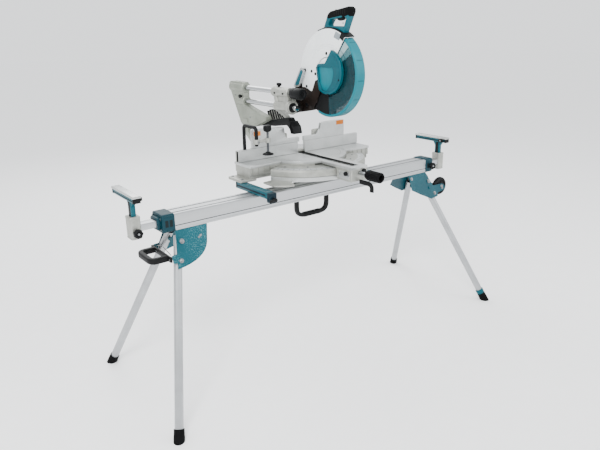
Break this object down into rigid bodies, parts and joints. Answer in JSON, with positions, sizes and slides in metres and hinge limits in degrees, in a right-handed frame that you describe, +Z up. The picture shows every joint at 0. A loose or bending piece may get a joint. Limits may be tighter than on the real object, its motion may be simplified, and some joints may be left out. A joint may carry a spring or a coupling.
{
  "type": "mitre saw on stand",
  "caption": "Sliding compound mitre saw with a raised circular blade, clamped on a long folding stand with sliding end supports and transport wheels.",
  "frame": {"origin": "centre of the footprint on the floor", "axes": "+X along the rail to the wheeled end, +Y from the user to the back of the saw, +Z up"},
  "size_m": [1.8501, 0.9818, 1.496],
  "materials": {
    "rail_aluminium": "satin extruded",
    "arm_aluminium": "satin",
    "leg_tube": "satin",
    "teal_plate": "satin enamel",
    "teal_casting": "satin enamel",
    "white_guard": "gloss enamel",
    "teal_plastic": "satin",
    "clear_guard": "smoked clear plastic",
    "cast_silver": "fine cast and machined",
    "warm_casting": "fine cast",
    "fence_silver": "satin",
    "polished_steel": "ground and polished",
    "blade_steel": "brushed",
    "black_plastic": "fine texture",
    "grip_rubber": "ribbed",
    "foot_rubber": "matt",
    "wheel_plastic": "moulded"
  },
  "bodies": {
    "stand": {"rail": "rail_aluminium", "left_end_cap": "teal_casting", "right_end_cap": "teal_casting", "left_leg_bracket": "teal_plate", "right_leg_bracket": "teal_plate", "centre_handle": "black_plastic", "end_handle": "black_plastic"},
    "leg_front_left": {"front_left_leg": "leg_tube", "front_left_foot": "foot_rubber"},
    "leg_rear_left": {"rear_left_leg": "leg_tube", "rear_left_foot": "foot_rubber"},
    "leg_front_right": {"front_right_leg": "leg_tube", "front_right_foot": "foot_rubber"},
    "leg_rear_right": {"rear_right_leg": "leg_tube", "rear_right_foot": "foot_rubber"},
    "left_arm": {"left_extension_arm": "arm_aluminium"},
    "left_support": {"left_support_post": "teal_plate", "left_rest_strip": "arm_aluminium"},
    "left_arm_lock": {"left_arm_knob": "black_plastic"},
    "left_post_lock": {"left_post_knob": "black_plastic"},
    "right_arm": {"right_extension_arm": "arm_aluminium"},
    "right_support": {"right_support_post": "teal_plate", "right_rest_strip": "arm_aluminium"},
    "right_arm_lock": {"right_arm_knob": "black_plastic"},
    "right_post_lock": {"right_post_knob": "black_plastic"},
    "wheel_front": {"front_wheel": "wheel_plastic"},
    "wheel_rear": {"rear_wheel": "wheel_plastic"},
    "saw_mount": {"left_mount_bar": "teal_plate", "right_mount_bar": "teal_plate", "saw_base": "cast_silver", "lower_fence": "fence_silver"},
    "left_clamp": {"left_clamp_lever": "black_plastic"},
    "right_clamp": {"right_clamp_lever": "black_plastic"},
    "left_fence": {"left_upper_fence": "fence_silver"},
    "right_fence": {"right_upper_fence": "fence_silver"},
    "table": {"turntable": "cast_silver", "kerf_plate": "black_plastic"},
    "mitre_lock": {"mitre_grip": "grip_rubber"},
    "mitre_detent": {"mitre_lever": "black_plastic"},
    "lower_slide": {"slide_hub": "cast_silver"},
    "bevel_arm": {"rear_arm": "warm_casting", "top_rod": "polished_steel", "bottom_rod": "polished_steel", "rod_cap": "black_plastic"},
    "slide_carriage": {"carriage": "cast_silver", "dust_chute": "black_plastic"},
    "head": {"upper_guard": "white_guard", "hinge_block": "black_plastic", "centre_cover": "teal_plastic", "motor_housing": "teal_plastic", "handle_frame": "teal_plate"},
    "saw_blade": {"blade": "blade_steel"},
    "lower_guard": {"guard_rim": "teal_plastic", "left_guard_window": "clear_guard", "right_guard_window": "clear_guard"},
    "trigger_lever": {"trigger": "black_plastic"},
    "lock_off": {"lock_off_button": "black_plastic"},
    "vise": {"vise_rod": "black_plastic", "vise_arm": "arm_aluminium"},
    "vise_screw": {"vise_spindle": "black_plastic"}
  },
  "joints": [
    {"name": "front_left_leg_fold", "type": "hinge", "parent": "stand", "child": "leg_front_left", "pos_m": [-0.71, -0.1676, 0.64], "axis": [0, -0.9092, 0.4163], "range_deg": [0, 105.3]},
    {"name": "rear_left_leg_fold", "type": "hinge", "parent": "stand", "child": "leg_rear_left", "pos_m": [-0.71, -0.0784, 0.64], "axis": [0, -0.9092, -0.4163], "range_deg": [0, 105.3]},
    {"name": "front_right_leg_fold", "type": "hinge", "parent": "stand", "child": "leg_front_right", "pos_m": [0.71, -0.18592, 0.6], "axis": [0, 0.9092, -0.4163], "range_deg": [0, 106.3]},
    {"name": "rear_right_leg_fold", "type": "hinge", "parent": "stand", "child": "leg_rear_right", "pos_m": [0.71, -0.06008, 0.6], "axis": [0, 0.9092, 0.4163], "range_deg": [0, 106.3]},
    {"name": "left_arm_slide", "type": "slide", "parent": "stand", "child": "left_arm", "axis": [-1, 0, 0], "range_m": [0, 0.5]},
    {"name": "left_support_rise", "type": "slide", "parent": "left_arm", "child": "left_support", "axis": [0, 0, 1], "range_m": [0, 0.05]},
    {"name": "left_arm_knob_turn", "type": "hinge", "parent": "stand", "child": "left_arm_lock", "pos_m": [-0.75, -0.0735, 0.715], "axis": [0, 1, 0], "range_deg": [-90, 270]},
    {"name": "left_post_knob_turn", "type": "hinge", "parent": "left_arm", "child": "left_post_lock", "pos_m": [-0.86, -0.151, 0.702], "axis": [0, 1, 0], "range_deg": [-90, 270]},
    {"name": "right_arm_slide", "type": "slide", "parent": "stand", "child": "right_arm", "axis": [1, 0, 0], "range_m": [0, 0.5]},
    {"name": "right_support_rise", "type": "slide", "parent": "right_arm", "child": "right_support", "axis": [0, 0, 1], "range_m": [0, 0.05]},
    {"name": "right_arm_knob_turn", "type": "hinge", "parent": "stand", "child": "right_arm_lock", "pos_m": [0.75, -0.1725, 0.715], "axis": [0, 1, 0], "range_deg": [-90, 270]},
    {"name": "right_post_knob_turn", "type": "hinge", "parent": "right_arm", "child": "right_post_lock", "pos_m": [0.86, -0.095, 0.702], "axis": [0, 1, 0], "range_deg": [-90, 270]},
    {"name": "front_wheel_roll", "type": "hinge", "parent": "stand", "child": "wheel_front", "pos_m": [0.812, -0.183, 0.597], "axis": [0, 1, 0], "continuous": true},
    {"name": "rear_wheel_roll", "type": "hinge", "parent": "stand", "child": "wheel_rear", "pos_m": [0.812, -0.063, 0.597], "axis": [0, 1, 0], "continuous": true},
    {"name": "saw_along_rail", "type": "slide", "parent": "stand", "child": "saw_mount", "axis": [1, 0, 0], "range_m": [-0.3, 0.3]},
    {"name": "left_clamp_turn", "type": "hinge", "parent": "saw_mount", "child": "left_clamp", "pos_m": [-0.317, -0.267, 0.752], "axis": [0, 1, 0], "range_deg": [-90, 0]},
    {"name": "right_clamp_turn", "type": "hinge", "parent": "saw_mount", "child": "right_clamp", "pos_m": [0.243, -0.267, 0.752], "axis": [0, 1, 0], "range_deg": [0, 90]},
    {"name": "left_fence_slide", "type": "slide", "parent": "saw_mount", "child": "left_fence", "axis": [-1, 0, 0], "range_m": [0, 0.018]},
    {"name": "right_fence_slide", "type": "slide", "parent": "saw_mount", "child": "right_fence", "axis": [1, 0, 0], "range_m": [0, 0.11]},
    {"name": "mitre_turn", "type": "hinge", "parent": "saw_mount", "child": "table", "pos_m": [0.06, 0.04, 0.85], "axis": [0, 0, 1], "range_deg": [-47, 34]},
    {"name": "mitre_grip_turn", "type": "hinge", "parent": "table", "child": "mitre_lock", "pos_m": [0.06, -0.3614, 0.822], "axis": [0, 1, 0], "range_deg": [-90, 270]},
    {"name": "mitre_lever_press", "type": "hinge", "parent": "table", "child": "mitre_detent", "pos_m": [0.06, -0.365, 0.784], "axis": [1, 0, 0], "range_deg": [0, 8], "stiffness_Nm_per_rad": 1.5, "springref_deg": -8.59},
    {"name": "lower_slide_travel", "type": "slide", "parent": "table", "child": "lower_slide", "axis": [0, 1, 0], "range_m": [-0.045, 0]},
    {"name": "bevel_tilt", "type": "hinge", "parent": "lower_slide", "child": "bevel_arm", "pos_m": [0.06, 0.194, 0.85], "axis": [0, -1, 0], "range_deg": [-38, 8]},
    {"name": "head_slide", "type": "slide", "parent": "bevel_arm", "child": "slide_carriage", "axis": [0, 1, 0], "range_m": [0, 0.18]},
    {"name": "chop", "type": "hinge", "parent": "slide_carriage", "child": "head", "pos_m": [0.06, 0.027, 1.076], "axis": [1, 0, 0], "range_deg": [0, 54.6], "stiffness_Nm_per_rad": 20, "springref_deg": -80.21},
    {"name": "blade_spin", "type": "hinge", "parent": "head", "child": "saw_blade", "pos_m": [0.06, -0.18, 1.226], "axis": [1, 0, 0], "continuous": true},
    {"name": "lower_guard_turn", "type": "hinge", "parent": "head", "child": "lower_guard", "pos_m": [0.06, -0.18, 1.226], "axis": [1, 0, 0], "range_deg": [-141, 0]},
    {"name": "trigger_squeeze", "type": "slide", "parent": "head", "child": "trigger_lever", "axis": [0, 0, 1], "range_m": [0, 0.005], "stiffness_N_per_m": 400, "springref_m": -0.002},
    {"name": "lock_off_press", "type": "slide", "parent": "head", "child": "lock_off", "axis": [0, 0, -1], "range_m": [0, 0.003], "stiffness_N_per_m": 500, "springref_m": -0.002},
    {"name": "vise_height", "type": "slide", "parent": "saw_mount", "child": "vise", "axis": [0, 0, 1], "range_m": [-0.006, 0.025]},
    {"name": "vise_screw_travel", "type": "slide", "parent": "vise", "child": "vise_screw", "axis": [0, 0, 1], "range_m": [-0.027, 0.03]}
  ],
  "couplings": [
    {"joint": "lower_guard_turn", "follows": "chop", "ratio": -2.56}
  ]
}
